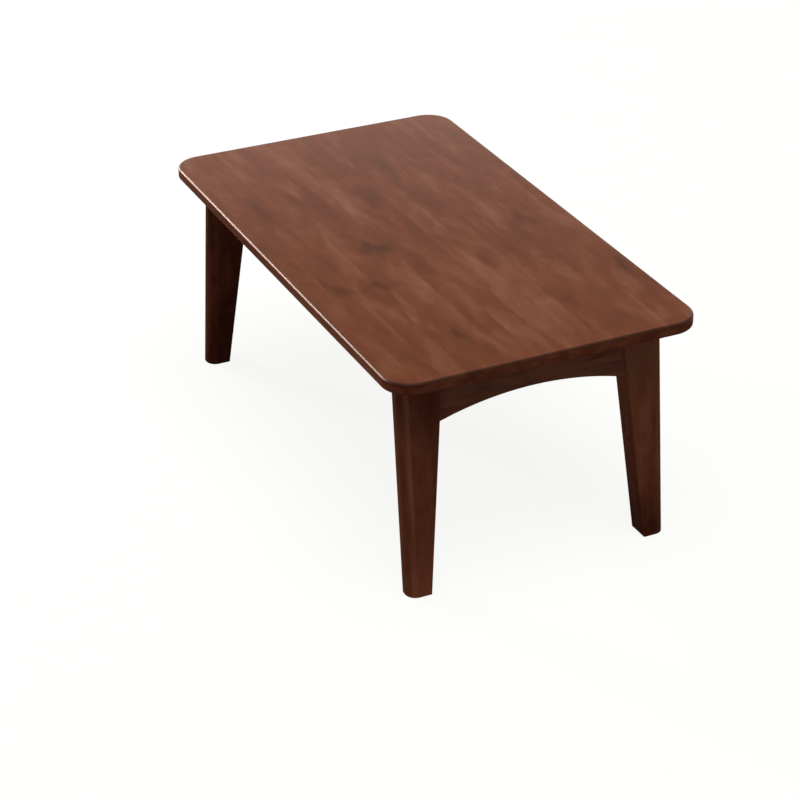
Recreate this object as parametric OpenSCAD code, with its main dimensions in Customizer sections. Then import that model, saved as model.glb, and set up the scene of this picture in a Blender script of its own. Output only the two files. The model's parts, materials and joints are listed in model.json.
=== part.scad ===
// Folding low table: a rounded top on two splayed leg frames that fold flat beneath it.
// Origin on the floor under the centre. +X along the top, +Y across it, +Z up. Millimetres.

/* [Tabletop] */
// Length of the top
top_length = 700; // [640:5:900]
// Width of the top
top_width = 404; // [396:1:520]
// Height of the top's upper face above the floor
table_height = 298; // [240:1:350]
// Thickness of the top
top_thickness = 15; // [14:0.5:24]
// Radius of the top's corners, seen from above
corner_radius = 36; // [12:1:50]
// Radius of the top's long and short edges
edge_radius = 3; // [1:0.25:6]

/* [Leg frames] */
// Lean of each frame away from the table's middle, in degrees
frame_splay = 6.7; // [2:0.1:8]
// Distance from the top's end to the frame's pivot
pivot_inset = 61; // [52:0.5:80]
// Thickness of a leg, square to its frame
leg_thickness = 30; // [24:1:32]
// Width of a leg where it meets the top
leg_top_width = 57; // [44:1:64]
// Width of a leg at the floor
leg_foot_width = 30; // [24:1:40]
// Distance from the top's long sides to the outer sides of the legs
side_overhang = 27; // [25:0.5:60]
// Radius of the two edges on a leg's outer side
leg_outer_radius = 13.5; // [3:0.5:14.5]
// Radius of the two edges on a leg's inner side
leg_inner_radius = 1.5; // [1:0.5:6]
// Gap that is left between a folded frame and the top
fold_gap = 0.5; // [0.4:0.1:2]

/* [Aprons] */
// Thickness of an apron
apron_thickness = 18; // [14:0.5:20]
// Distance of an apron's front behind the fronts of its legs
apron_setback = 3; // [2:0.5:6]
// Depth of an apron at the middle of its arch
apron_depth = 50.5; // [40:0.5:60]
// Rise of the arch from the legs to its middle
arch_rise = 18; // [8:1:26]
// Gap between an apron's upper edge and the top
apron_top_gap = 0.5; // [0.4:0.1:2]

/* [Centre batten] */
// Width of the batten under the top
batten_width = 54; // [40:1:80]
// Depth of the batten
batten_depth = 30; // [16:1:34]
// Gap between the batten's ends and the path of the aprons
batten_end_gap = 3; // [2:0.5:20]
// Radius of the batten's lower edges
batten_edge_radius = 3; // [1:0.5:6]

/* [Hinge brackets] */
// Thickness of the bracket's steel
bracket_plate = 2; // [1.5:0.25:3]
// Length of the bracket along the table
bracket_length = 36; // [30:1:44]
// Width of the bracket's flange
flange_width = 20; // [17:0.5:22]
// Radius of the ear's round end
ear_radius = 8; // [7:0.5:10]
// Inner radius of the bracket's bend
bend_radius = 1.5; // [0.5:0.25:2.5]

/* [Fasteners] */
// Diameter of the pivot bolts
bolt_diameter = 6; // [5:0.5:7]
// Diameter of the pivot bolts' heads
bolt_head_diameter = 11; // [9:0.5:13]
// Thickness of the pivot bolts' heads
bolt_head_height = 4; // [3:0.5:6]
// Diameter of the hexagon socket's circle in a bolt's head
bolt_socket_diameter = 4.6; // [3:0.2:5]
// Diameter of the washers beside each ear
washer_diameter = 13; // [11:0.5:14]
// Thickness of a washer
washer_thickness = 1.2; // [1:0.1:2]
// Gap between a leg's side and the bracket's ear beside it
ear_gap = 0.2; // [0.1:0.05:0.5]
// Diameter of the threaded inserts in the legs
insert_diameter = 9; // [8:0.5:11]
// Length of the threaded inserts
insert_length = 14; // [10:0.5:20]
// Running clearance between a bolt and its ear or washer, all round
running_clearance = 0.05; // [0.02:0.01:0.1]
// Clearance of parts that are glued or screwed in, all round
seat_clearance = 0.03; // [0.01:0.01:0.1]
// Diameter of the dowels between legs and aprons
dowel_diameter = 8; // [6:0.5:10]
// Length of a dowel
dowel_length = 38; // [30:1:44]
// Distance between a joint's two dowels
dowel_spacing = 30; // [22:1:34]
// Diameter of the wood screws
screw_diameter = 4; // [3:0.25:4.5]
// Diameter of the wood screws' heads
screw_head_diameter = 8; // [6:0.25:9]
// Height of the wood screws' heads
screw_head_height = 2.6; // [2:0.2:3]
// Depth that the wood screws reach into the top
screw_bite = 10; // [6:0.5:11]
// Distance from the batten's ends to its first screws
batten_screw_margin = 30; // [15:1:60]
// Number of screws in the batten
batten_screw_count = 5; // [2:1:5]
// Distance between the two screws of a bracket
bracket_screw_spacing = 22; // [18:1:24]

/* [Hidden] */

RIGHT = 1;
LEFT = -1;
BACK = 1;
FRONT = -1;

walnut = [0.36, 0.20, 0.15];
walnut_dark = [0.27, 0.14, 0.11];
beech = [0.78, 0.64, 0.45];
steel = [0.62, 0.62, 0.64];
brass = [0.80, 0.66, 0.36];

// Extra length on cutting shapes, so that faces never coincide
spare = 1;

// The pivot lies as far below the top as half a leg and the gap left after folding
underside = table_height - top_thickness;
pivot_drop = leg_thickness / 2 + fold_gap;
pivot_x = top_length / 2 - pivot_inset;
pivot_z = underside - pivot_drop;

// Distances from the pivot along the frame to the top's underside and to the floor
reach_up = pivot_drop / cos(frame_splay);
reach_down = pivot_z / cos(frame_splay);
frame_width = top_width - 2 * side_overhang;
leg_side = frame_width / 2;
leg_front = leg_thickness / 2;

// The upper edge of a leg rests on the underside from this distance in front of the pivot
stop_start = 4;

apron_front = leg_front - apron_setback;
apron_back = apron_front - apron_thickness;
apron_crown = reach_up - apron_depth / cos(frame_splay);
apron_foot = apron_crown - arch_rise;
arch_half_span = leg_side - leg_width(apron_foot);
arch_radius = (pow(arch_half_span, 2) + pow(arch_rise, 2)) / (2 * arch_rise);

// The widest circle about the pivot that an apron sweeps beside the batten
batten_corner_dip = arch_radius - sqrt(pow(arch_radius, 2) - pow(batten_width / 2, 2));
apron_sweep = norm([max(apron_front, -apron_back), batten_corner_dip - apron_crown]);
batten_length = 2 * (pivot_x - apron_sweep - batten_end_gap);
batten_screw_spacing = (batten_length - 2 * batten_screw_margin) / (batten_screw_count - 1);
batten_foot = underside - batten_depth;

// The washer beside a leg lies in a flat seat that is milled into the leg's round side
seat_plane = leg_side + ear_gap - washer_thickness;
ear_inner = leg_side + ear_gap;
ear_outer = ear_inner + bracket_plate;
bolt_head_seat = ear_outer + washer_thickness;
flange_screw_y = (bolt_head_seat + bolt_head_height + ear_inner + flange_width) / 2;
flange_screw_row = min(flange_screw_y, ear_inner + flange_width - screw_head_diameter / 2 - 0.5);

dowel_top = -dowel_diameter / 2;
dowel_x = (apron_front + apron_back) / 2;

function leg_width(level) = leg_foot_width
    + (leg_top_width - leg_foot_width) * (level + reach_down) / (reach_up + reach_down);

// Solids are drawn for the right end or the back, and mirrored for the other one
module at_end(end) {
    if (end == LEFT) mirror([1, 0, 0]) children();
    else children();
}

module at_side(side) {
    if (side == FRONT) mirror([0, 1, 0]) children();
    else children();
}

// A frame's own axes: x through its thickness, y across the table, z up from the pivot
module on_frame(end) {
    at_end(end) translate([pivot_x, 0, pivot_z]) rotate([0, -frame_splay, 0]) children();
}

// Everything between the floor and a level just under the top
module below_top(gap) {
    translate([pivot_x - top_length / 2, -top_width / 2, 0])
        cube([top_length, top_width, underside - gap]);
}

// Side view of what turns with a frame: a round knuckle behind, and a stop in front
module frame_outline() {
    reach = leg_thickness + spare;
    circle(r = leg_thickness / 2, $fn = 96);
    translate([-reach, -reach_down - leg_thickness]) square([2 * reach, reach_down + leg_thickness]);
    translate([stop_start, -spare]) square([reach, reach_up + leg_thickness]);
}

module frame_stock() {
    translate([0, frame_width, 0]) rotate([90, 0, 0])
        linear_extrude(height = 2 * frame_width) frame_outline();
}

// A cylinder along +Y that starts at y = from
module rod_y(d, from, length, sides = 48) {
    translate([0, from + length, 0]) rotate([90, 0, 0]) cylinder(d = d, h = length, $fn = sides);
}

// Tabletop
// Section of a board with rounded edges, centred on x = 0 and standing on y = 0
module board_section(width) {
    r = edge_radius;
    translate([-width / 2, r]) square([width, top_thickness - 2 * r]);
    translate([-width / 2 + r, 0]) square([width - 2 * r, top_thickness]);
    for (x = [-width / 2 + r, width / 2 - r], y = [r, top_thickness - r])
        translate([x, y]) circle(r = r, $fn = 48);
}

module board_corner() {
    rotate_extrude($fn = 96) intersection() {
        board_section(2 * corner_radius);
        square([corner_radius, top_thickness]);
    }
}

module rounded_board() {
    x = top_length / 2 - corner_radius;
    y = top_width / 2 - corner_radius;
    translate([-x, 0, 0]) rotate([90, 0, 90]) linear_extrude(height = 2 * x) board_section(top_width);
    translate([0, y, 0]) rotate([90, 0, 0]) linear_extrude(height = 2 * y) board_section(top_length);
    for (cx = [-x, x], cy = [-y, y]) translate([cx, cy, 0]) board_corner();
}

module tabletop() {
    color(walnut) difference() {
        translate([0, 0, underside]) rounded_board();
        screw_holes_in_top();
    }
}

module screw_holes_in_top() {
    hole = screw_diameter + 2 * seat_clearance;
    depth = screw_bite + 2 * spare;
    at_batten_screws() translate([0, 0, underside - spare]) cylinder(d = hole, h = depth, $fn = 24);
    at_bracket_screws() translate([0, 0, underside - spare]) cylinder(d = hole, h = depth, $fn = 24);
}

// Centre batten
module at_batten_screws() {
    for (i = [0:batten_screw_count - 1])
        translate([(i - (batten_screw_count - 1) / 2) * batten_screw_spacing, 0, 0]) children();
}

module batten_section() {
    r = batten_edge_radius;
    half = batten_width / 2;
    translate([-half, r]) square([batten_width, batten_depth - r]);
    translate([-half + r, 0]) square([batten_width - 2 * r, batten_depth]);
    for (y = [-half + r, half - r]) translate([y, r]) circle(r = r, $fn = 32);
}

module centre_batten() {
    counterbore = screw_head_diameter + 1;
    color(walnut_dark) difference() {
        translate([-batten_length / 2, 0, batten_foot]) rotate([90, 0, 90])
            linear_extrude(height = batten_length) batten_section();
        at_batten_screws() {
            translate([0, 0, batten_foot - spare])
                cylinder(d = screw_diameter + 2 * seat_clearance, h = batten_depth + 2 * spare, $fn = 24);
            translate([0, 0, batten_foot - spare])
                cylinder(d = counterbore, h = spare + screw_head_height + 1, $fn = 32);
        }
    }
}

// Screw with its point up and its head's upper face at z = 0
module wood_screw(grip) {
    crown = screw_head_height * 0.4;
    translate([0, 0, -screw_head_height + crown])
        cylinder(d = screw_head_diameter, h = screw_head_height - crown, $fn = 32);
    translate([0, 0, -screw_head_height])
        cylinder(d1 = screw_head_diameter * 0.6, d2 = screw_head_diameter, h = crown, $fn = 32);
    cylinder(d = screw_diameter, h = grip + screw_bite, $fn = 24);
}

module batten_screws() {
    seat = screw_head_height + 1;
    color(steel) at_batten_screws() translate([0, 0, batten_foot + seat]) wood_screw(batten_depth - seat);
}

// Hinge brackets
module at_bracket_screws() {
    for (end = [RIGHT, LEFT], side = [FRONT, BACK]) at_end(end) at_side(side)
        for (x = [-0.5, 0.5] * bracket_screw_spacing)
            translate([pivot_x + x, flange_screw_row, 0]) children();
}

// Section of the bent plate, with its heel at the origin, its ear down and its flange to +x
module bent_plate_section() {
    ear_length = pivot_drop + ear_radius;
    heel = bend_radius + bracket_plate;
    translate([0, -ear_length]) square([bracket_plate, ear_length - heel]);
    translate([heel, -bracket_plate]) square([flange_width - heel, bracket_plate]);
    translate([heel, -heel]) intersection() {
        difference() {
            circle(r = heel, $fn = 48);
            circle(r = bend_radius, $fn = 48);
        }
        translate([-heel, 0]) square(heel);
    }
}

// Front view of the bracket about the pivot: a round-ended ear below the full-length flange
module bracket_outline() {
    heel = bend_radius + bracket_plate;
    circle(r = ear_radius, $fn = 64);
    translate([-ear_radius, 0]) square([2 * ear_radius, pivot_drop]);
    translate([-bracket_length / 2, pivot_drop - heel]) square([bracket_length, heel]);
}

module bracket(end, side) {
    color(steel) at_end(end) at_side(side) difference() {
        intersection() {
            translate([pivot_x - bracket_length / 2, ear_inner, underside])
                rotate([90, 0, 90]) linear_extrude(height = bracket_length) bent_plate_section();
            translate([pivot_x, ear_inner + flange_width + spare, pivot_z]) rotate([90, 0, 0])
                linear_extrude(height = flange_width + 2 * spare) bracket_outline();
        }
        translate([pivot_x, 0, pivot_z])
            rod_y(bolt_diameter + 2 * running_clearance, ear_inner - spare, bracket_plate + 2 * spare);
        for (x = [-0.5, 0.5] * bracket_screw_spacing)
            translate([pivot_x + x, flange_screw_row, underside - bracket_plate - spare])
                cylinder(d = screw_diameter + 2 * seat_clearance, h = bracket_plate + 2 * spare, $fn = 24);
    }
}

module bracket_screws() {
    color(steel) at_bracket_screws() translate([0, 0, underside - bracket_plate]) wood_screw(bracket_plate);
}

// Legs
// Section of a bar that is rounded where y = 0 and square at the other side
module half_rounded_bar(width, r) {
    translate([-leg_front + r, 0]) square([leg_thickness - 2 * r, width]);
    translate([-leg_front, r]) square([leg_thickness, width - r]);
    for (x = [-leg_front + r, leg_front - r]) translate([x, r]) circle(r = r, $fn = 64);
}

// The straight outer side and the tapered inner side are two bars that cross
module leg_stock() {
    length = 3 * reach_down;
    taper = atan((leg_top_width - leg_foot_width) / (reach_up + reach_down));
    intersection() {
        translate([0, leg_side, -length / 2]) mirror([0, 1, 0])
            linear_extrude(height = length) half_rounded_bar(frame_width / 2, leg_outer_radius);
        translate([0, leg_side - leg_width(0), 0]) rotate([taper, 0, 0])
            translate([0, 0, -length / 2]) linear_extrude(height = length)
                half_rounded_bar(frame_width / 2, leg_inner_radius);
    }
}

module leg(end, side) {
    color(walnut_dark) difference() {
        intersection() {
            on_frame(end) at_side(side) intersection() {
                leg_stock();
                frame_stock();
            }
            at_end(end) below_top(0);
        }
        on_frame(end) at_side(side) {
            rod_y(insert_diameter + 2 * seat_clearance, seat_plane - insert_length, insert_length + spare);
            rod_y(washer_diameter + 2, seat_plane, washer_thickness + spare);
            at_dowels() rod_y(dowel_diameter + 2 * seat_clearance, -spare - dowel_length / 2,
                dowel_length + 2 * spare);
        }
    }
}

// Aprons
module apron_face() {
    upper = reach_up + leg_thickness;
    difference() {
        polygon([
            [leg_width(upper) - leg_side, upper], [leg_side - leg_width(upper), upper],
            [leg_side - leg_width(apron_foot), apron_foot], [leg_width(apron_foot) - leg_side, apron_foot]
        ]);
        translate([0, apron_crown - arch_radius]) circle(r = arch_radius, $fn = 360);
    }
}

module apron(end) {
    color(walnut_dark) difference() {
        intersection() {
            on_frame(end) intersection() {
                translate([apron_back, 0, 0]) rotate([90, 0, 90])
                    linear_extrude(height = apron_thickness) apron_face();
                frame_stock();
            }
            at_end(end) below_top(apron_top_gap);
        }
        on_frame(end) for (side = [FRONT, BACK]) at_side(side)
            at_dowels() rod_y(dowel_diameter + 2 * seat_clearance, -spare - dowel_length / 2,
                dowel_length + 2 * spare);
    }
}

// Dowels, centred on the joint between the apron's end and the leg
module at_dowels() {
    for (level = [dowel_top, dowel_top - dowel_spacing])
        translate([dowel_x, leg_side - leg_width(level), level]) children();
}

module dowels(end) {
    color(beech) on_frame(end) for (side = [FRONT, BACK]) at_side(side)
        at_dowels() rod_y(dowel_diameter, -dowel_length / 2, dowel_length);
}

// Pivot bolts, with their inserts and washers
module inserts(end) {
    color(brass) on_frame(end) for (side = [FRONT, BACK]) at_side(side) difference() {
        rod_y(insert_diameter, seat_plane - insert_length, insert_length);
        rod_y(bolt_diameter + 2 * seat_clearance, seat_plane - insert_length - spare,
            insert_length + 2 * spare);
    }
}

module pivot_bolts(end) {
    tip = seat_plane - insert_length + 1;
    socket = bolt_head_height / 2;
    color(steel) on_frame(end) for (side = [FRONT, BACK]) at_side(side) difference() {
        union() {
            rod_y(bolt_diameter, tip, bolt_head_seat - tip);
            rod_y(bolt_head_diameter, bolt_head_seat, bolt_head_height);
        }
        rod_y(bolt_socket_diameter, bolt_head_seat + socket, socket + spare, 6);
    }
}

module washers(end) {
    color(steel) on_frame(end) for (side = [FRONT, BACK], from = [seat_plane, ear_outer])
        at_side(side) difference() {
            rod_y(washer_diameter, from, washer_thickness);
            rod_y(bolt_diameter + 2 * running_clearance, from - spare, washer_thickness + 2 * spare);
        }
}

tabletop();
centre_batten();
batten_screws();
bracket(RIGHT, FRONT);  // bracket_right_front
bracket(RIGHT, BACK);  // bracket_right_back
bracket(LEFT, FRONT);  // bracket_left_front
bracket(LEFT, BACK);  // bracket_left_back
bracket_screws();
leg(RIGHT, FRONT);  // leg_right_front
leg(RIGHT, BACK);  // leg_right_back
leg(LEFT, FRONT);  // leg_left_front
leg(LEFT, BACK);  // leg_left_back
apron(RIGHT);  // apron_right
apron(LEFT);  // apron_left
dowels(RIGHT);  // dowels_right
dowels(LEFT);  // dowels_left
inserts(RIGHT);  // inserts_right
inserts(LEFT);  // inserts_left
pivot_bolts(RIGHT);  // pivot_bolts_right
pivot_bolts(LEFT);  // pivot_bolts_left
washers(RIGHT);  // washers_right
washers(LEFT);  // washers_left
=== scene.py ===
import bpy
import bmesh
import json
import math
from mathutils import Matrix, Vector

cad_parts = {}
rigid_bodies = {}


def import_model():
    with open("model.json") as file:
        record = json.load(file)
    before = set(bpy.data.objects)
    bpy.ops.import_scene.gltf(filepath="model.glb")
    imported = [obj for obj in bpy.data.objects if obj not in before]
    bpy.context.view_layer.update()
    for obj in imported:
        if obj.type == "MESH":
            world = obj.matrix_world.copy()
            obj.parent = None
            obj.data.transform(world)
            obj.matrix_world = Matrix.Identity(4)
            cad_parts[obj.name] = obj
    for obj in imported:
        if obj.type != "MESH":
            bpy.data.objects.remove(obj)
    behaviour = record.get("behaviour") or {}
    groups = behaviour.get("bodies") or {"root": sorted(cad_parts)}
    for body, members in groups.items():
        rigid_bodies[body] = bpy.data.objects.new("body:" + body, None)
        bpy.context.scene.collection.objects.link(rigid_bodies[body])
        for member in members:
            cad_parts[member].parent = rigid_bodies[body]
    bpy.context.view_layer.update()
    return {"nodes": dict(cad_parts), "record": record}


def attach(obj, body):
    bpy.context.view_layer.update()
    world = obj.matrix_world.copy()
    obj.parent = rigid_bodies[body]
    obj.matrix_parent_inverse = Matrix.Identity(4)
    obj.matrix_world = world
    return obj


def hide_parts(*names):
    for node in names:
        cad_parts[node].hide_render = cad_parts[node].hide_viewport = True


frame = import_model()
nodes = frame["nodes"]
bodyOf = {name: body for body, names in frame["record"]["behaviour"]["bodies"].items() for name in names}
mm = 0.001
quarterTurn = math.pi / 2
print("frame loaded:", len(nodes), "nodes")


# camera, fitted to the edges and feet of the table in the photograph
cameraSetup = {
    "azimuth": 64.45,           # degrees, 0 looks along +Y
    "elevation": 29.41,
    "roll": 0.03,
    "distance": 3.1224,         # from the table's origin, along the view
    "aside": 0.025,             # the origin lies this far right of the view's axis
    "below": 0.05075,           # and this far below it
    "lens": 106.51,
    "sensor": 36,
}


def makeCamera(setup):
    azimuth = math.radians(setup["azimuth"])
    elevation = math.radians(setup["elevation"])
    turn = (Matrix.Rotation(azimuth, 3, "Z")
            @ Matrix.Rotation(quarterTurn - elevation, 3, "X")
            @ Matrix.Rotation(math.radians(setup["roll"]), 3, "Z"))
    place = turn @ Vector((-setup["aside"], setup["below"], setup["distance"]))
    data = bpy.data.cameras.new("camera")
    data.lens = setup["lens"]
    data.sensor_width = setup["sensor"]
    camera = bpy.data.objects.new("camera", data)
    camera.matrix_world = Matrix.Translation(place) @ turn.to_4x4()
    bpy.context.collection.objects.link(camera)
    bpy.context.scene.camera = camera


makeCamera(cameraSetup)
bpy.context.scene.view_settings.view_transform = "Standard"
print("camera placed")


# short forms for building node trees
def newMaterial(name):
    material = bpy.data.materials.new(name)
    material.use_nodes = True
    material.node_tree.nodes.clear()
    return material, material.node_tree


def endMaterial(tree, shader):
    addNode(tree, "ShaderNodeOutputMaterial", {"Surface": shader.outputs[0]})


def addNode(tree, kind, sockets=None, **settings):
    made = tree.nodes.new(kind)
    for key, value in settings.items():
        setattr(made, key, value)
    for key, value in (sockets or {}).items():
        if isinstance(value, bpy.types.NodeSocket):
            tree.links.new(value, made.inputs[key])
        else:
            made.inputs[key].default_value = value
    return made


def maths(tree, operation, *values):
    return addNode(tree, "ShaderNodeMath", dict(enumerate(values)), operation=operation).outputs[0]


def vectorMaths(tree, operation, *values):
    made = addNode(tree, "ShaderNodeVectorMath", dict(enumerate(values)), operation=operation)
    return made.outputs["Value" if operation in ("LENGTH", "DOT_PRODUCT") else "Vector"]


def rangeTo(tree, value, fromLow, fromHigh, toLow, toHigh, smooth=False):
    made = addNode(tree, "ShaderNodeMapRange", {
        "Value": value, "From Min": fromLow, "From Max": fromHigh, "To Min": toLow, "To Max": toHigh,
    }, interpolation_type="SMOOTHSTEP" if smooth else "LINEAR")
    return made.outputs["Result"]


def mixColors(tree, factor, first, second):
    # 0, 6 and 7 are the sockets for the factor and the two colours
    return addNode(tree, "ShaderNodeMix", {0: factor, 6: first, 7: second}, data_type="RGBA").outputs[2]


def noise(tree, place, scale, detail, roughness=0.5, distortion=0.0):
    return addNode(tree, "ShaderNodeTexNoise", {
        "Vector": place, "Scale": scale, "Detail": detail, "Roughness": roughness,
        "Distortion": distortion}).outputs


def objectPlace(tree):
    return addNode(tree, "ShaderNodeTexCoord").outputs["Object"]


def heightOf(tree, place):
    return addNode(tree, "ShaderNodeSeparateXYZ", {"Vector": place}).outputs["Z"]


def stretchedPlace(tree, place, scale):
    return addNode(tree, "ShaderNodeMapping", {"Vector": place, "Scale": scale}).outputs[0]


# stained and lacquered bamboo, laminated from strips that all run one way
# every tone below is added to a scale that runs from 0, dark, to 1, light
bambooLook = {
    "dark": (0.096, 0.030, 0.012, 1),
    "middle": (0.172, 0.050, 0.020, 1),
    "light": (0.250, 0.099, 0.054, 1),
    # the colour of worn stain, which also serves for the painted highlight on the legs' roundings
    "wornAndHighlight": (0.300, 0.132, 0.074, 1),
    "roughness": 0.34,
    "cloudRoughness": 0.12,     # more where the stain is pale
    "wearRoughness": 0.3,       # and where it is worn, and under the painted highlight on the legs' roundings
    "specular": 0.010,
    "bump": 0.10,
    "bumpHeight": 0.1 * mm,
    # noises drawn out along the grain, lengths and widths in mm
    "cloud": {"length": 105, "width": 30, "detail": 1, "distortion": 0.7, "tone": 0.85},
    "mottle": {"length": 30, "width": 16, "detail": 1, "distortion": 0.8, "tone": 0.40},
    "drift": {"length": 220, "width": 110, "detail": 1, "distortion": 0, "tone": 0.60},
    "fibre": {"length": 66, "width": 1.1, "detail": 2, "distortion": 0, "tone": 0.20},
    "stripWidth": 29.5 * mm,
    "stripDepth": 7.5 * mm,
    "stagger": 0.43,            # each layer of strips lies this share of a width further over
    "slide": 7.0,               # strips come from places on their culms up to this many metres apart
    "stripTone": 0.12,
    "leanTone": 0.12,           # from one side of a strip to the other
    "leanMean": 0.3,            # strips with a random number above this lean the other way
    "glueStart": 0.482,         # the glue line starts this share of a width from a strip's middle
    "glueTone": -0.05,
    "knucklePitch": 0.42,       # distance between the knuckles of one culm
    "knuckleChance": 0.55,      # they show on the strips whose random number is above this
    "patchReach": (1 * mm, 15 * mm),
    "patchTone": -0.16,
    "lineReach": (0.2 * mm, 1.4 * mm),
    "lineTone": -0.12,
    "marks": (),                # single marks: place, half length, half width in mm, and tone
    "markFalloff": (0.1, 1.5),  # shares of its half size where a mark starts to fade and is gone
    "flameScale": (14, 45, 1),  # waves per metre of the marks' outlines, along and across
    "flameReach": (100 * mm, 34 * mm, 0),
    "fade": (0, 0),             # painted shade and light: tone added at the foot and at the head of an upright piece
    "fadeHeights": (20 * mm, 240 * mm),
    "edgeWear": 0.30,           # paler stain along the arrises
    "edgeWearRadius": 1.6 * mm,
    "edgeWearTurn": (0.99, 0.85),   # cosine of true and rounded normal, for no wear and for full wear
    "edgeWearPatches": (-0.1, 0.1, 0.2, 1.0),   # range of the cloud noise, and of the wear's strength
    "rubbed": 0.0,              # painted highlight: a paler colour along the wide roundings of the legs, where light caught them
    "paintedHighlightIn": (0.02, 0.28),   # slants of the surface between which it comes in
    "rubbedOut": (0.34, 0.80),  # and between which it fades out
    "paintedHighlightUp": (50 * mm, 220 * mm, 0.30, 1.0),  # range of height, and of its strength
    "paintedHighlightPatches": (-0.15, 0.1, 0.6, 1.0),
}


# how far across its strip a point lies, and four random numbers of that strip
def findStrip(tree, across, deep, look):
    layer = maths(tree, "FLOOR", maths(tree, "DIVIDE", deep, look["stripDepth"]))
    widths = maths(tree, "DIVIDE", across, look["stripWidth"])
    stagger = maths(tree, "MULTIPLY_ADD", layer, look["stagger"], widths)
    row = maths(tree, "FLOOR", stagger)
    cell = addNode(tree, "ShaderNodeCombineXYZ", {"X": row, "Y": layer}).outputs[0]
    dice = addNode(tree, "ShaderNodeTexWhiteNoise", {"Vector": cell}, noise_dimensions="2D").outputs
    colors = addNode(tree, "ShaderNodeSeparateColor", {"Color": dice["Color"]}).outputs
    return maths(tree, "FRACT", stagger), (dice["Value"], *colors)


# a noise about zero
def grainNoise(tree, along, across, deep, pattern):
    where = addNode(tree, "ShaderNodeCombineXYZ", {
        "X": maths(tree, "DIVIDE", along, pattern["length"] * mm),
        "Y": maths(tree, "DIVIDE", across, pattern["width"] * mm),
        "Z": maths(tree, "DIVIDE", deep, pattern["width"] * mm),
    }).outputs[0]
    made = noise(tree, where, 1.0, pattern["detail"], distortion=pattern["distortion"])
    return maths(tree, "SUBTRACT", made["Fac"], 0.5)


# a soft dark patch at a knuckle with a finer line across the strip, on some strips only
def addKnuckles(tree, tone, culmPlace, withinStrip, chance, look):
    culm = maths(tree, "FRACT", maths(tree, "DIVIDE", culmPlace, look["knucklePitch"]))
    away = maths(tree, "MULTIPLY", maths(tree, "ABSOLUTE", maths(tree, "SUBTRACT", culm, 0.5)),
                 look["knucklePitch"])
    some = rangeTo(tree, chance, look["knuckleChance"], 1.0, 0.0, 1.0)
    patch = rangeTo(tree, away, *look["patchReach"], 1.0, 0.0, smooth=True)
    patch = maths(tree, "MULTIPLY", patch, rangeTo(tree, withinStrip, 0.1, 1.0, 1.0, 0.0, smooth=True))
    patch = maths(tree, "MULTIPLY", patch, some)
    line = maths(tree, "MULTIPLY", rangeTo(tree, away, *look["lineReach"], 1.0, 0.0, smooth=True), some)
    tone = maths(tree, "MULTIPLY_ADD", patch, look["patchTone"], tone)
    return maths(tree, "MULTIPLY_ADD", line, look["lineTone"], tone)


# the single marks have flamed outlines
def addMarks(tree, tone, place, look):
    swirl = noise(tree, stretchedPlace(tree, place, look["flameScale"]), 1.0, 1.0)["Color"]
    shift = vectorMaths(tree, "SUBTRACT", swirl, (0.5, 0.5, 0.5))
    warped = vectorMaths(tree, "MULTIPLY_ADD", shift, look["flameReach"], place)
    for x, y, long, wide, markTone in look["marks"]:
        offset = vectorMaths(tree, "SUBTRACT", warped, (x * mm, y * mm, 0))
        scaled = vectorMaths(tree, "MULTIPLY", offset, (1 / (long * mm), 1 / (wide * mm), 0))
        far = vectorMaths(tree, "LENGTH", scaled)
        mark = rangeTo(tree, far, *look["markFalloff"], 1.0, 0.0, smooth=True)
        tone = maths(tree, "MULTIPLY_ADD", mark, markTone, tone)
    return tone


# the stain is rubbed thinner along the arrises, in places
def arrisWear(tree, cloud, look):
    rounded = addNode(tree, "ShaderNodeBevel", {"Radius": look["edgeWearRadius"]}, samples=4).outputs[0]
    straight = addNode(tree, "ShaderNodeNewGeometry").outputs["Normal"]
    facing = vectorMaths(tree, "DOT_PRODUCT", rounded, straight)
    wearAndHighlight = rangeTo(tree, facing, *look["edgeWearTurn"], 0.0, look["edgeWear"])
    return maths(tree, "MULTIPLY", wearAndHighlight, rangeTo(tree, cloud, *look["edgeWearPatches"]))


# painted highlight: a paler band on the legs' wide roundings, beside the outer face, most at the head,
# where light caught them
def roundingPaintedHighlight(tree, cloud, height, look):
    shapeNormal = addNode(tree, "ShaderNodeTexCoord").outputs["Normal"]
    toEnd, toSide = addNode(tree, "ShaderNodeSeparateXYZ", {"Vector": shapeNormal}).outputs[:2]
    slant = maths(tree, "ABSOLUTE", maths(tree, "DIVIDE", toSide, toEnd))
    wearAndHighlight = rangeTo(tree, slant, *look["paintedHighlightIn"], 0.0, look["rubbed"], smooth=True)
    wearAndHighlight = maths(tree, "MULTIPLY", wearAndHighlight, rangeTo(tree, slant, *look["rubbedOut"], 1.0, 0.0, smooth=True))
    wearAndHighlight = maths(tree, "MULTIPLY", wearAndHighlight, rangeTo(tree, height, *look["paintedHighlightUp"]))
    return maths(tree, "MULTIPLY", wearAndHighlight, rangeTo(tree, cloud, *look["paintedHighlightPatches"]))


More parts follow.
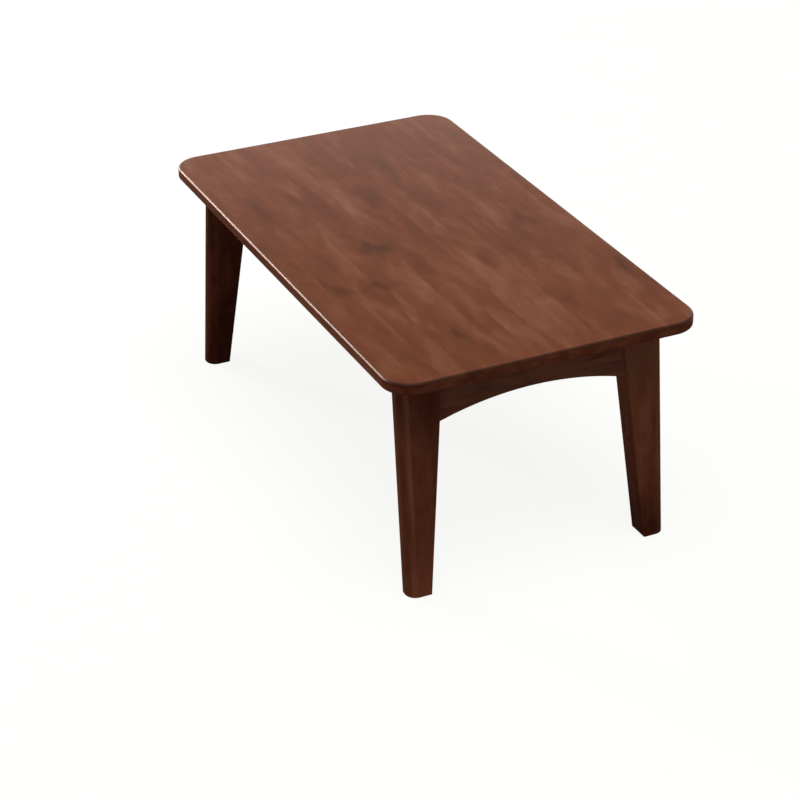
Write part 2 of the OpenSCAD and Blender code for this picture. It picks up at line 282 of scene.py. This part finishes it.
def bambooMaterial(name, changes, turn=(0, 0, 0)):
    # the grain runs along x of the turned coordinates, the strips lie side by side along y
    look = {**bambooLook, **changes}
    material, tree = newMaterial(name)
    place = objectPlace(tree)
    turned = addNode(tree, "ShaderNodeMapping", {"Vector": place, "Rotation": turn}).outputs[0]
    along, across, deep = addNode(tree, "ShaderNodeSeparateXYZ", {"Vector": turned}).outputs
    withinStrip, (forTone, forSlide, forLean, forKnuckles) = findStrip(tree, across, deep, look)
    acrossStrip = maths(tree, "SUBTRACT", withinStrip, 0.5)

    # every strip is cut from another length of culm, so its pattern starts elsewhere
    slid = maths(tree, "MULTIPLY_ADD", forSlide, look["slide"], along)
    tone = 0.5
    noises = {}
    for pattern, start in (("cloud", slid), ("mottle", along), ("drift", along), ("fibre", slid)):
        noises[pattern] = grainNoise(tree, start, across, deep, look[pattern])
        tone = maths(tree, "MULTIPLY_ADD", noises[pattern], look[pattern]["tone"], tone)
    cloud = noises["cloud"]

    tone = maths(tree, "MULTIPLY_ADD", maths(tree, "SUBTRACT", forTone, 0.5), look["stripTone"], tone)
    lean = maths(tree, "MULTIPLY", maths(tree, "SUBTRACT", forLean, look["leanMean"]), look["leanTone"])
    tone = maths(tree, "MULTIPLY_ADD", acrossStrip, lean, tone)
    tone = addKnuckles(tree, tone, slid, withinStrip, forKnuckles, look)
    glueLine = rangeTo(tree, maths(tree, "ABSOLUTE", acrossStrip), look["glueStart"], 0.5, 0.0, 1.0,
                       smooth=True)
    tone = maths(tree, "MULTIPLY_ADD", glueLine, look["glueTone"], tone)
    if look["marks"]:
        tone = addMarks(tree, tone, turned, look)
    # painted shade and light along the height of a leg
    if look["fade"] != (0, 0):
        fade = rangeTo(tree, heightOf(tree, place), *look["fadeHeights"], *look["fade"])
        tone = maths(tree, "ADD", tone, fade)
    ramp = addNode(tree, "ShaderNodeValToRGB", {"Fac": tone})
    ends = ramp.color_ramp.elements
    ends[0].color = look["dark"]
    ends[1].color = look["light"]
    ends.new(0.5).color = look["middle"]

    wearAndHighlight = arrisWear(tree, cloud, look)
    # the painted highlight on the legs' roundings is mixed in with the wear on the arrises
    if look["rubbed"]:
        wearAndHighlight = maths(tree, "MAXIMUM", wearAndHighlight, roundingPaintedHighlight(tree, cloud, heightOf(tree, place), look))
    color = mixColors(tree, wearAndHighlight, ramp.outputs["Color"], look["wornAndHighlight"])
    roughness = maths(tree, "MULTIPLY_ADD", cloud, look["cloudRoughness"], look["roughness"])
    roughness = maths(tree, "MULTIPLY_ADD", wearAndHighlight, look["wearRoughness"], roughness)
    bump = addNode(tree, "ShaderNodeBump", {
        "Strength": look["bump"], "Distance": look["bumpHeight"], "Height": tone})
    endMaterial(tree, addNode(tree, "ShaderNodeBsdfPrincipled", {
        "Base Color": color, "Roughness": roughness, "Normal": bump.outputs[0],
        "Specular IOR Level": look["specular"],
    }))
    return material


# zinc plated steel and brass, with brush marks drawn out along one axis
metalLooks = {
    "zinc_steel": {"dark": (0.36, 0.36, 0.37, 1), "light": (0.55, 0.55, 0.55, 1),
                   "roughness": 0.42, "grain": (0.1, 1, 1)},
    "turned_steel": {"dark": (0.38, 0.38, 0.39, 1), "light": (0.60, 0.60, 0.60, 1),
                     "roughness": 0.37, "grain": (1, 0.1, 1)},
    "plain_brass": {"dark": (0.50, 0.34, 0.12, 1), "light": (0.66, 0.48, 0.19, 1),
                    "roughness": 0.38, "grain": (1, 0.1, 1)},
}
metalSurface = {
    "brushScale": 900.0,
    "brushDetail": 3.0,
    "brushRoughness": 0.16,     # how much the brush marks change the roughness
    "stainScale": 70.0,
    "stainDetail": 3.0,
    "stainRange": (0.3, 0.7),   # from all dark to all light
    "bump": 0.15,
    "bumpHeight": 0.03 * mm,
}


def metalMaterial(name):
    look = {**metalSurface, **metalLooks[name]}
    material, tree = newMaterial(name)
    place = objectPlace(tree)
    brushPlace = stretchedPlace(tree, place, look["grain"])
    brushed = noise(tree, brushPlace, look["brushScale"], look["brushDetail"], 0.6)["Fac"]
    stain = noise(tree, place, look["stainScale"], look["stainDetail"])["Fac"]
    paler = rangeTo(tree, stain, *look["stainRange"], 0.0, 1.0)
    color = mixColors(tree, paler, look["dark"], look["light"])
    roughness = maths(tree, "MULTIPLY_ADD", maths(tree, "SUBTRACT", brushed, 0.5),
                      look["brushRoughness"], look["roughness"])
    bump = addNode(tree, "ShaderNodeBump", {
        "Strength": look["bump"], "Distance": look["bumpHeight"], "Height": brushed})
    endMaterial(tree, addNode(tree, "ShaderNodeBsdfPrincipled", {
        "Base Color": color, "Metallic": 1.0, "Roughness": roughness, "Normal": bump.outputs[0]}))
    return material


# bare turned beech, with its grain along y, as the dowels lie
beechLook = {
    "dark": (0.40, 0.25, 0.12, 1),
    "light": (0.62, 0.44, 0.25, 1),
    "grainScale": 1100.0,
    "grainDetail": 2.0,
    "grain": (1, 0.04, 1),
    "grainRange": (0.35, 0.65),     # from all dark to all light
    "roughness": (0.70, 0.55),  # of the dark and of the light grain
    "bump": 0.3,
    "bumpHeight": 0.05 * mm,
}


def beechMaterial(name, look):
    material, tree = newMaterial(name)
    place = stretchedPlace(tree, objectPlace(tree), look["grain"])
    grain = noise(tree, place, look["grainScale"], look["grainDetail"], 0.6)["Fac"]
    paler = rangeTo(tree, grain, *look["grainRange"], 0.0, 1.0)
    color = mixColors(tree, paler, look["dark"], look["light"])
    roughness = rangeTo(tree, grain, 0.3, 0.7, *look["roughness"])
    bump = addNode(tree, "ShaderNodeBump", {
        "Strength": look["bump"], "Distance": look["bumpHeight"], "Height": grain})
    endMaterial(tree, addNode(tree, "ShaderNodeBsdfPrincipled", {
        "Base Color": color, "Roughness": roughness, "Normal": bump.outputs[0]}))
    return material


boardLook = {
    "marks": (
        (27, -70, 20, 20, -0.43), (100, 42, 26, 15, -0.38), (-135, -15, 22, 16, -0.35),
        (27, 137, 16, 18, -0.35), (267, -78, 20, 9, -0.43), (112, -105, 10, 22, -0.35),
        (105, -150, 12, 18, -0.29), (187, 186, 22, 9, -0.41), (-137, 107, 30, 16, -0.23),
        (-140, -155, 40, 16, -0.23), (-190, -78, 75, 9, -0.23), (-240, -23, 45, 12, -0.17),
        (-122, -47, 62, 10, 0.31), (100, 22, 85, 9, 0.18), (-52, 42, 64, 9, 0.24),
        (-10, 105, 55, 11, 0.26), (-140, 79, 55, 13, 0.24), (-245, 157, 85, 14, 0.19),
        (250, 165, 55, 12, 0.24), (-275, 14, 60, 11, 0.22), (-5, -108, 95, 18, 0.30),
        (297, -50, 45, 11, 0.26), (200, -103, 75, 9, 0.22), (-190, -93, 40, 7, 0.19),
        (305, 150, 45, 30, 0.24), (-170, 150, 75, 34, -0.17), (-60, 150, 70, 30, -0.13),
        (-75, 80, 42, 16, -0.26),
    ),
}
# the arris is much darker than the face, and the lacquer is thickest there
arrisLook = {
    "dark": (0.030, 0.008, 0.003, 1),
    "middle": (0.062, 0.017, 0.007, 1),
    "light": (0.100, 0.034, 0.017, 1),
    "edgeWear": 0.0,
    "roughness": 0.42,
    "specular": 0.07,
}
frameLook = {
    "dark": (0.055, 0.013, 0.006, 1),
    "middle": (0.152, 0.044, 0.022, 1),
    "light": (0.240, 0.084, 0.042, 1),
    "wornAndHighlight": (0.290, 0.112, 0.058, 1),
    "roughness": 0.50,
    "specular": 0.004,
}
# the board's edge band is darker than the face; a paler mark along the long side is a painted reflection
# of light there, and a darker mark round the near corner is painted shade
edgeLook = {
    **frameLook,
    "middle": (0.130, 0.035, 0.016, 1),
    "edgeWear": 0.05,
    "marks": ((110, -202, 230, 30, 0.34), (345, -190, 26, 30, -0.22)),
}
# painted light: the aprons get a lighter middle tone than the other frame pieces, standing in for light
# that reaches them under the top
apronLook = {**frameLook, "middle": (0.228, 0.086, 0.048, 1)}
# the four legs get painted shade and light of their own towards the foot and the head, and a painted
# highlight of their own strength
legLooks = {
    "right_front": {"fade": (-0.04, -0.10), "rubbed": 0.60},
    "right_back": {"fade": (-0.50, 0.62), "rubbed": 0.40},
    "left_front": {"fade": (-0.34, -0.26), "rubbed": 0.14},
    "left_back": {"fade": (-0.08, -0.14), "rubbed": 0.30},
}
legSplay = math.radians(6.7)    # the right legs lean this far towards +X, the left ones towards -X

boardBamboo = bambooMaterial("bamboo_board", boardLook)
arrisBamboo = bambooMaterial("bamboo_arris", arrisLook)
edgeBamboo = bambooMaterial("bamboo_board_edge", edgeLook)
battenBamboo = bambooMaterial("bamboo_batten", frameLook)
apronBamboo = bambooMaterial("bamboo_apron", apronLook, (0, 0, quarterTurn))
legBamboo = {}
for legName, legLook in legLooks.items():
    splay = legSplay if legName.startswith("right") else -legSplay
    legBamboo[legName] = bambooMaterial("bamboo_leg_" + legName, {**frameLook, **legLook},
                                        (0, quarterTurn + splay, 0))
zincSteel = metalMaterial("zinc_steel")
turnedSteel = metalMaterial("turned_steel")
plainBrass = metalMaterial("plain_brass")
dowelBeech = beechMaterial("beech", beechLook)
print("materials made")


# a finished mesh becomes the piece that stands for a node
def standIn(nodeName, pieceName, shape, materials, evenShading=True):
    piece = bpy.data.objects.new(pieceName, bpy.data.meshes.new(pieceName))
    shape.to_mesh(piece.data)
    shape.free()
    bpy.context.collection.objects.link(piece)
    if evenShading:
        weighted = piece.modifiers.new("even_shading", "WEIGHTED_NORMAL")
        weighted.weight = 80
    for material in materials:
        piece.data.materials.append(material)
    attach(piece, bodyOf[nodeName])
    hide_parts(nodeName)


def smoothFaces(shape):
    for face in shape.faces:
        face.smooth = True


# edges that turn further than this many degrees are sharp, the others smooth
def markSharp(shape, degrees):
    for edge in shape.edges:
        edge.smooth = not (edge.is_manifold and edge.calc_face_angle() > math.radians(degrees))
    return [edge for edge in shape.edges if not edge.smooth]


# a copy of a node's mesh, with the points joined that lie on one another
def nodeShape(nodeName):
    shape = bmesh.new()
    shape.from_mesh(nodes[nodeName].data)
    bmesh.ops.remove_doubles(shape, verts=shape.verts, dist=0.002 * mm)
    return shape


# the top: rings of points from the rim of the upper face round the edge to the rim of the lower
boardShape = {
    "length": 700 * mm,
    "width": 404 * mm,
    "underside": 283 * mm,
    "thickness": 15 * mm,
    "cornerRadius": 36 * mm,
    "edgeRadius": 3 * mm,
    "cornerSteps": 24,
    "edgeSteps": 8,
}


def boardRing(shape, inset):
    radius = shape["cornerRadius"] - inset
    cornerX = shape["length"] / 2 - shape["cornerRadius"]
    cornerY = shape["width"] / 2 - shape["cornerRadius"]
    points = []
    for quadrant, (signX, signY) in enumerate(((1, 1), (-1, 1), (-1, -1), (1, -1))):
        for step in range(shape["cornerSteps"] + 1):
            angle = (quadrant + step / shape["cornerSteps"]) * quarterTurn
            points.append((signX * cornerX + radius * math.cos(angle),
                           signY * cornerY + radius * math.sin(angle)))
    return points


def makeBoard(shape):
    top = shape["underside"] + shape["thickness"]
    edgeRadius = shape["edgeRadius"]
    steps = shape["edgeSteps"]
    levels = []                 # inset and height of each ring, from the upper face to the lower
    for step in range(steps + 1):
        angle = step / steps * quarterTurn
        levels.append((edgeRadius * (1 - math.sin(angle)), top - edgeRadius * (1 - math.cos(angle))))
    for inset, height in reversed(levels[:]):
        levels.append((inset, top + shape["underside"] - height))
    mesh = bmesh.new()
    rings = [[mesh.verts.new((x, y, height)) for x, y in boardRing(shape, inset)]
             for inset, height in levels]
    mesh.faces.new(rings[0])
    mesh.faces.new(reversed(rings[-1]))
    count = len(rings[0])
    for number, (upper, lower) in enumerate(zip(rings, rings[1:])):
        for here in range(count):
            after = (here + 1) % count
            face = mesh.faces.new((upper[here], lower[here], lower[after], upper[after]))
            face.material_index = 1 if number < steps else 2
    smoothFaces(mesh)
    standIn("tabletop", "board_finished", mesh, (boardBamboo, arrisBamboo, edgeBamboo))


makeBoard(boardShape)
print("top made")


# pan head screws with a cross recess, driven in from below
screwShape = {
    "headDiameter": 8 * mm,
    "headHeight": 2.6 * mm,
    "crownShare": 0.6,          # this share of the head's height is domed
    "crownFlat": 0.02 * mm,
    "crownSteps": 8,
    "rim": 0.1 * mm,            # the head's broken edge against its seat
    "shankDiameter": 4 * mm,
    "pointLength": 2 * mm,
    "pointRadius": 0.5 * mm,
    "around": 32,
    "recessLength": 4.4 * mm,
    "recessWidth": 1.1 * mm,
    "recessDepth": 1.6 * mm,
    "recessFlare": (1.25, 0.55),    # growth of the recess at its mouth and at its bottom
    "recessStart": 0.5 * mm,        # it is cut from this far outside the crown
    "tip": 293 * mm,
    "seats": {"bracket_screws": 281 * mm, "batten_screws": 256.6 * mm},  # heights of the heads' seats
    "turnEach": 0.7,                # radians between one screw's recess and the next
    "sharpAngle": 35,
}


def screwBody(shape, seat):
    # turned outline from the crown of the head up to the tip of the shank
    head = shape["headDiameter"] / 2
    shank = shape["shankDiameter"] / 2
    low = seat - shape["headHeight"]
    crown = shape["crownShare"] * shape["headHeight"]
    outline = [(shape["crownFlat"], low)]
    for step in range(1, shape["crownSteps"] + 1):
        angle = step / shape["crownSteps"] * quarterTurn
        outline.append((head * math.sin(angle), low + (1 - math.cos(angle)) * crown))
    outline += [(head, seat - shape["rim"]), (head - shape["rim"], seat), (shank, seat),
                (shank, shape["tip"] - shape["pointLength"]), (shape["pointRadius"], shape["tip"])]
    body = bmesh.new()
    count = shape["around"]
    rings = []
    for radius, height in outline:
        angles = [2 * math.pi * step / count for step in range(count)]
        rings.append([body.verts.new((radius * math.cos(angle), radius * math.sin(angle), height))
                      for angle in angles])
    for lower, upper in zip(rings, rings[1:]):
        for here in range(count):
            after = (here + 1) % count
            body.faces.new((lower[here], lower[after], upper[after], upper[here]))
    body.faces.new(reversed(rings[0]))
    body.faces.new(rings[-1])
    return body


def screwRecess(shape, seat):
    # two tapered bars across each other
    low = seat - shape["headHeight"]
    long, wide = shape["recessLength"] / 2, shape["recessWidth"] / 2
    mouth, bottom = shape["recessFlare"]
    cutter = bmesh.new()
    for turn in (0, quarterTurn):
        spin = Matrix.Rotation(turn, 4, "Z")
        ends = []
        for height, flare in ((low - shape["recessStart"], mouth), (low + shape["recessDepth"], bottom)):
            reachX, reachY = long * flare, wide * (0.5 + flare / 2)
            ends.append([cutter.verts.new(spin @ Vector((signX * reachX, signY * reachY, height)))
                         for signX, signY in ((-1, -1), (1, -1), (1, 1), (-1, 1))])
        cutter.faces.new(reversed(ends[0]))
        cutter.faces.new(ends[1])
        for here in range(4):
            after = (here + 1) % 4
            cutter.faces.new((ends[0][here], ends[0][after], ends[1][after], ends[1][here]))
    return cutter


def makeScrew(shape, seat):
    made = []
    for name, mesh in (("screw", screwBody(shape, seat)), ("recess", screwRecess(shape, seat))):
        data = bpy.data.meshes.new(name)
        bmesh.ops.recalc_face_normals(mesh, faces=mesh.faces)
        mesh.to_mesh(data)
        mesh.free()
        item = bpy.data.objects.new(name, data)
        bpy.context.collection.objects.link(item)
        made.append(item)
    screw, recess = made
    cut = screw.modifiers.new("recess", "BOOLEAN")
    cut.operation = "DIFFERENCE"
    cut.solver = "EXACT"
    cut.use_self = True
    cut.object = recess
    finished = bpy.data.meshes.new_from_object(screw.evaluated_get(bpy.context.evaluated_depsgraph_get()))
    for item in made:
        bpy.data.objects.remove(item)
    return finished


# the middle of each solid of a node, seen from above
def solidPlaces(nodeName):
    shape = nodeShape(nodeName)
    waiting = set(shape.verts)
    places = []
    while waiting:
        front = [waiting.pop()]
        solid = list(front)
        while front:
            for edge in front.pop().link_edges:
                for vert in edge.verts:
                    if vert in waiting:
                        waiting.remove(vert)
                        front.append(vert)
                        solid.append(vert)
        xs = [vert.co.x for vert in solid]
        ys = [vert.co.y for vert in solid]
        places.append(((min(xs) + max(xs)) / 2, (min(ys) + max(ys)) / 2))
    shape.free()
    return sorted(places)


def makeScrews(nodeName, shape, material):
    # equal screws, each turned a little further than the one before
    single = makeScrew(shape, shape["seats"][nodeName])
    row = bmesh.new()
    for number, (x, y) in enumerate(solidPlaces(nodeName)):
        before = len(row.verts)
        row.from_mesh(single)
        row.verts.ensure_lookup_table()
        put = Matrix.Translation((x, y, 0)) @ Matrix.Rotation(shape["turnEach"] * number, 4, "Z")
        bmesh.ops.transform(row, matrix=put, verts=row.verts[before:])
    smoothFaces(row)
    markSharp(row, shape["sharpAngle"])
    standIn(nodeName, nodeName + "_finished", row, (material,), evenShading=False)


makeScrews("bracket_screws", screwShape, turnedSteel)
makeScrews("batten_screws", screwShape, turnedSteel)
print("screws made")


# radius and steps of the broken arrises of the other pieces
arrisBreaks = {
    "batten": (0.8 * mm, 3),
    "apron": (1.2 * mm, 3),
    "leg": (1.0 * mm, 3),
    "bracket": (0.25 * mm, 2),
    "bolt": (0.4 * mm, 2),
    "washer": (0.15 * mm, 2),
}
flatAngle = 1                   # degrees; faces that turn less than this are joined
sharpAngle = 30                 # and edges that turn more than this are broken


# a node's solids with their arrises broken
def softened(nodeName, kind, material):
    radius, steps = arrisBreaks[kind]
    shape = nodeShape(nodeName)
    bmesh.ops.dissolve_limit(shape, angle_limit=math.radians(flatAngle), verts=shape.verts,
                             edges=shape.edges)
    smoothFaces(shape)
    bmesh.ops.bevel(shape, geom=markSharp(shape, sharpAngle), offset=radius, segments=steps,
                    profile=0.5, affect="EDGES", clamp_overlap=True)
    for edge in shape.edges:
        edge.smooth = True
    smoothFaces(shape)
    standIn(nodeName, nodeName + "_finished", shape, (material,))


# a node that keeps its own shape gets a better material
def dress(piece, material):
    for slot in piece.material_slots:
        slot.material = material
    if not piece.material_slots:
        piece.data.materials.append(material)


softened("centre_batten", "batten", battenBamboo)
for end in ("right", "left"):
    softened(f"apron_{end}", "apron", apronBamboo)
    for side in ("front", "back"):
        softened(f"leg_{end}_{side}", "leg", legBamboo[f"{end}_{side}"])
        softened(f"bracket_{end}_{side}", "bracket", zincSteel)
    softened(f"pivot_bolts_{end}", "bolt", turnedSteel)
    softened(f"washers_{end}", "washer", turnedSteel)
    dress(nodes[f"inserts_{end}"], plainBrass)
    dress(nodes[f"dowels_{end}"], dowelBeech)
print("pieces dressed")


# floor and light
studio = {
    "white": (1, 1, 0.985, 1),
    "floorSize": 60.0,
    "floorDrop": 0.2 * mm,      # the floor lies this far below the feet
    "floorGlow": 0.89,          # what the camera sees of the floor without any light on it
    "floorShade": 0.125,        # and what the lamps add, which is missing in the shadow
    "floorBounce": 0.32,        # how much of the light the floor gives back to the table
    "skyLight": 0.15,           # what the white all round gives to the table
    "keyLevel": 2.15,
    "keyAngle": 50.0,           # degrees across, so that the shadow is soft
    "keyFrom": (0.16, -0.06, 1.0),
}
# where each card stands, what it looks at, its radiance, size and colour,
# if it lights mat surfaces too, and the one piece that it is kept to
lightCards = {
    "window": {"at": (-2.35, -1.45, 1.40), "to": (0, 0, 0.28), "level": 30.0, "size": (0.5, 0.5),
               "color": (1, 1, 1), "mat": True},
    "farCard": {"at": (-0.82, 0.39, 0.44), "to": (0, 0, 0.36), "level": 4.4, "size": (2.4, 0.36),
                "color": (1, 1, 1), "mat": False},
    "glintCard": {"at": (-2.30, -1.75, 1.10), "to": (0, -0.2, 0.29), "level": 78.0, "size": (2.4, 1.2),
                  "color": (1, 0.69, 0.55), "mat": False, "only": "board_finished"},
}


# 1 for the camera's own rays and for those that gloss and clear surfaces send on
def seenRays(tree):
    path = addNode(tree, "ShaderNodeLightPath").outputs
    return maths(tree, "MAXIMUM", path["Is Camera Ray"],
                 maths(tree, "MAXIMUM", path["Is Glossy Ray"], path["Is Transmission Ray"]))


def grey(level):
    return (level, level, level, 1)


def makeFloor(setup):
    material, tree = newMaterial("pale_floor")
    bounce = addNode(tree, "ShaderNodeBsdfDiffuse", {"Color": grey(setup["floorBounce"])})
    shade = addNode(tree, "ShaderNodeBsdfDiffuse", {"Color": grey(setup["floorShade"])})
    glow = addNode(tree, "ShaderNodeEmission", {"Color": setup["white"], "Strength": setup["floorGlow"]})
    shown = addNode(tree, "ShaderNodeAddShader", {0: shade.outputs[0], 1: glow.outputs[0]})
    upper = addNode(tree, "ShaderNodeMixShader", {
        0: seenRays(tree), 1: bounce.outputs[0], 2: shown.outputs[0]})
    # from below it is clear, so that the underside of the table can be looked at
    clear = addNode(tree, "ShaderNodeBsdfTransparent")
    fromBelow = addNode(tree, "ShaderNodeNewGeometry").outputs["Backfacing"]
    endMaterial(tree, addNode(tree, "ShaderNodeMixShader", {
        0: fromBelow, 1: upper.outputs[0], 2: clear.outputs[0]}))
    half = setup["floorSize"] / 2
    mesh = bpy.data.meshes.new("floor")
    mesh.from_pydata([(-half, -half, 0), (half, -half, 0), (half, half, 0), (-half, half, 0)],
                     [], [(0, 1, 2, 3)])
    floor = bpy.data.objects.new("floor", mesh)
    floor.location.z = -setup["floorDrop"]
    floor.data.materials.append(material)
    bpy.context.collection.objects.link(floor)


def makeWorld(setup):
    world = bpy.data.worlds.new("white_all_round")
    world.use_nodes = True
    tree = world.node_tree
    tree.nodes.clear()
    light = addNode(tree, "ShaderNodeBackground", {"Color": grey(1), "Strength": setup["skyLight"]})
    shown = addNode(tree, "ShaderNodeBackground", {"Color": setup["white"], "Strength": 1.0})
    both = addNode(tree, "ShaderNodeMixShader", {
        0: seenRays(tree), 1: light.outputs[0], 2: shown.outputs[0]})
    addNode(tree, "ShaderNodeOutputWorld", {"Surface": both.outputs[0]})
    bpy.context.scene.world = world


def aim(lamp, direction):
    lamp.rotation_euler = Vector(direction).to_track_quat("Z", "Y").to_euler()


def makeKey(setup):
    data = bpy.data.lights.new("key", "SUN")
    data.energy = setup["keyLevel"]
    data.angle = math.radians(setup["keyAngle"])
    key = bpy.data.objects.new("key", data)
    aim(key, setup["keyFrom"])
    bpy.context.collection.objects.link(key)


def makeCard(name, card):
    data = bpy.data.lights.new(name, "AREA")
    data.shape = "RECTANGLE"
    data.size, data.size_y = card["size"]
    data.energy = card["level"] * math.pi * data.size * data.size_y
    data.color = card["color"]
    lamp = bpy.data.objects.new(name, data)
    lamp.location = card["at"]
    aim(lamp, Vector(card["at"]) - Vector(card["to"]))
    lamp.visible_diffuse = card["mat"]
    lamp.visible_camera = False
    bpy.context.collection.objects.link(lamp)
    if "only" in card:
        lit = bpy.data.collections.new(name + "_lights")
        lit.objects.link(bpy.data.objects[card["only"]])
        lamp.light_linking.receiver_collection = lit


makeFloor(studio)
makeWorld(studio)
makeKey(studio)
for cardName, card in lightCards.items():
    makeCard(cardName, card)
print("floor and lights placed")
